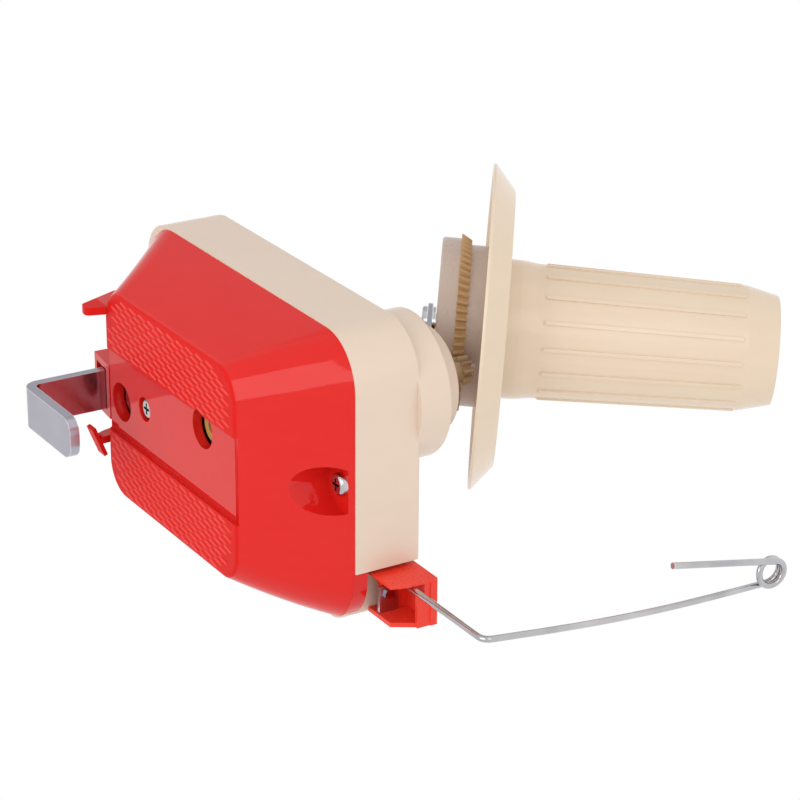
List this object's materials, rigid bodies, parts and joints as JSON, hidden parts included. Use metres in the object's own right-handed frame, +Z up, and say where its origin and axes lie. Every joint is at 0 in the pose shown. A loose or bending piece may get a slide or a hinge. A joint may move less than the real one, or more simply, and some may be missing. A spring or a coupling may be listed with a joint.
{
  "type": "yarn ball winder",
  "caption": "Table-clamped yarn ball winder with a hand crank, a tilted flanged barrel on a geared head, and a swinging wire yarn guide.",
  "frame": {"origin": "middle of the clamping gap's upper plane: the plane of the two base pads that rest on the table, under the middle of the housing", "axes": "+Z up along the rotor axis, +X towards the winding head, +Y towards the yarn guide side"},
  "size_m": [0.1828, 0.1271, 0.2048],
  "materials": {
    "cream_plastic": "glossy moulded cream ABS",
    "tan_plastic": "glossy moulded tan plastic",
    "red_plastic": "glossy moulded red ABS",
    "orange_plastic": "glossy moulded orange-red plastic",
    "gear_plastic": "natural acetal",
    "bright_steel": "bright plated strip steel",
    "plated_steel": "zinc plated steel",
    "tan_pinion": "moulded tan plastic"
  },
  "bodies": {
    "root": {"top_housing": "cream_plastic", "base_shell": "red_plastic", "shell_screws": "plated_steel", "bearing_plate": "gear_plastic", "crank_bush": "gear_plastic", "head_bush": "gear_plastic", "transfer_pin": "plated_steel", "sun_post": "plated_steel", "sun_pinion": "tan_pinion", "guide_block": "orange_plastic", "guide_leaf": "bright_steel", "guide_rivet": "plated_steel"},
    "crank": {"crank_shaft": "plated_steel", "crank_gear": "gear_plastic", "crank_arm": "red_plastic", "crank_nut": "plated_steel", "knob_pin": "plated_steel"},
    "knob": {"crank_knob": "red_plastic"},
    "transfer": {"transfer_gear": "gear_plastic"},
    "compound": {"compound_gear": "gear_plastic", "compound_ring": "bright_steel"},
    "rotor": {"rotor_hub": "gear_plastic", "rotor_pinion": "gear_plastic", "rotor_disc": "cream_plastic", "spool_bracket": "bright_steel", "bracket_rivets": "plated_steel", "spool_axle": "plated_steel", "axle_clip": "plated_steel"},
    "spool": {"spool_drum": "tan_plastic", "spool_flange": "cream_plastic", "spool_barrel": "cream_plastic"},
    "jaw": {"clamp_jaw": "bright_steel"},
    "lever": {"clamp_tongue": "red_plastic", "clamp_hook": "red_plastic", "clamp_cam": "red_plastic", "lever_shaft": "plated_steel"},
    "guide": {"guide_wire": "plated_steel"}
  },
  "joints": [
    {"name": "rotor_spin", "type": "hinge", "parent": "root", "child": "rotor", "pos_m": [0.045, -0.0209, 0.06], "axis": [0, 0, 1], "continuous": true},
    {"name": "crank_spin", "type": "hinge", "parent": "root", "child": "crank", "pos_m": [-0.0354, 0.0028, 0.05], "axis": [0, 0, 1], "continuous": true},
    {"name": "transfer_spin", "type": "hinge", "parent": "root", "child": "transfer", "pos_m": [0.00044, -0.00054, 0.042], "axis": [0, 0, 1], "continuous": true},
    {"name": "compound_spin", "type": "hinge", "parent": "root", "child": "compound", "pos_m": [0.01887, -0.00832, 0.03], "axis": [0, 0, 1], "continuous": true},
    {"name": "spool_spin", "type": "hinge", "parent": "rotor", "child": "spool", "pos_m": [0.045, -0.0209, 0.1285], "axis": [0.5556, 0.0633, 0.829], "continuous": true},
    {"name": "knob_spin", "type": "hinge", "parent": "crank", "child": "knob", "pos_m": [-0.0354, 0.0468, 0.06], "axis": [0, 0, 1], "continuous": true},
    {"name": "jaw_slide", "type": "slide", "parent": "root", "child": "jaw", "axis": [0, 0, 1], "range_m": [-0.008, 0.005]},
    {"name": "lever_hinge", "type": "hinge", "parent": "root", "child": "lever", "pos_m": [-0.054, 0, 0.0245], "axis": [0, 1, 0], "range_deg": [0, 55]},
    {"name": "guide_swing", "type": "hinge", "parent": "root", "child": "guide", "pos_m": [0.072, 0.0295, 0.0396], "axis": [1, 0, 0], "range_deg": [-90, 45]}
  ],
  "couplings": [
    {"joint": "crank_spin", "follows": "rotor_spin", "ratio": -0.20243},
    {"joint": "transfer_spin", "follows": "rotor_spin", "ratio": 0.52632},
    {"joint": "compound_spin", "follows": "rotor_spin", "ratio": -0.52632},
    {"joint": "spool_spin", "follows": "rotor_spin", "ratio": 0.13636}
  ]
}
